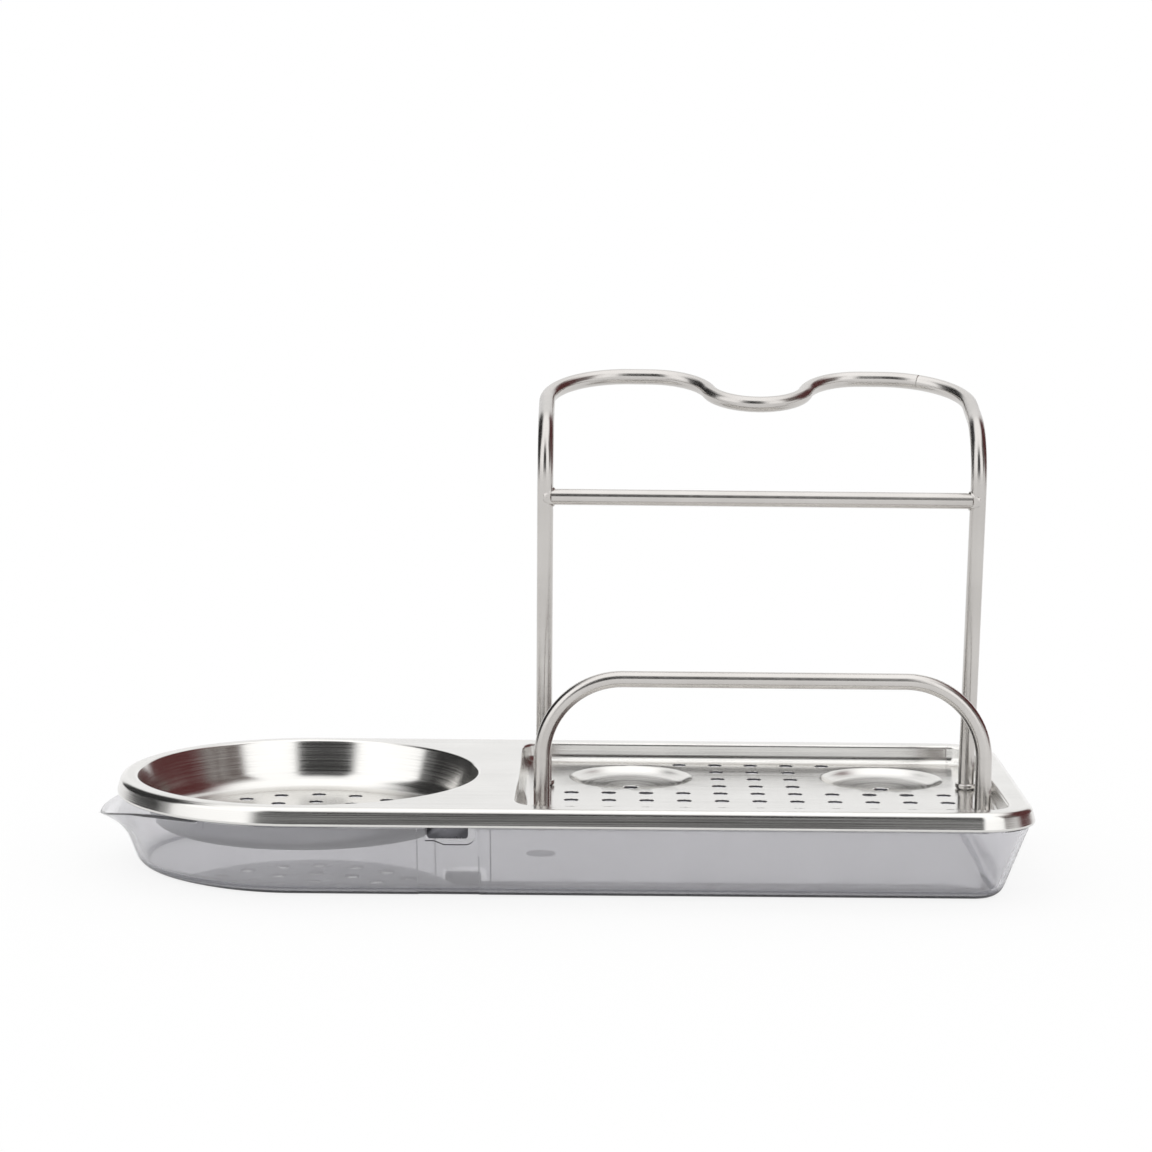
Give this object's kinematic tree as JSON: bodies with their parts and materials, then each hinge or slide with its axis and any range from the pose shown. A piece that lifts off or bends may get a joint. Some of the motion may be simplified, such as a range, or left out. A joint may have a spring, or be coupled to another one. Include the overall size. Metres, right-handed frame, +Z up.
{
  "type": "sink organizer",
  "caption": "Pressed steel sink caddy with a perforated soap bowl and a brush rack of bent wire hoops, on a smoky plastic drip tray with a pouring spout.",
  "frame": {"origin": "under the middle of the whole length and width, on the counter", "axes": "+Z up, +Y towards the back of the sink, +X along the long side from the spout and soap bowl to the brush rack"},
  "size_m": [0.3126, 0.1286, 0.1641],
  "materials": {
    "brushed_steel": "fine polish",
    "polished_steel_wire": "polished",
    "smoky_plastic": "clear grey gloss"
  },
  "bodies": {
    "tray": {"drip_tray": "smoky_plastic"},
    "rack": {"top_pan": "brushed_steel", "rear_hoop": "polished_steel_wire", "front_hoop": "polished_steel_wire", "cross_bar": "polished_steel_wire", "leg_collar_front_left": "polished_steel_wire", "leg_collar_front_right": "polished_steel_wire", "leg_collar_rear_left": "polished_steel_wire", "leg_collar_rear_right": "polished_steel_wire", "leg_nut_front_left": "brushed_steel", "leg_nut_front_right": "brushed_steel", "leg_nut_rear_left": "brushed_steel", "leg_nut_rear_right": "brushed_steel", "locating_tab_front": "brushed_steel", "locating_tab_back": "brushed_steel"}
  },
  "joints": [
    {"name": "rack_lift", "type": "slide", "parent": "tray", "child": "rack", "axis": [0, 0, 1], "range_m": [0, 0.06]}
  ]
}
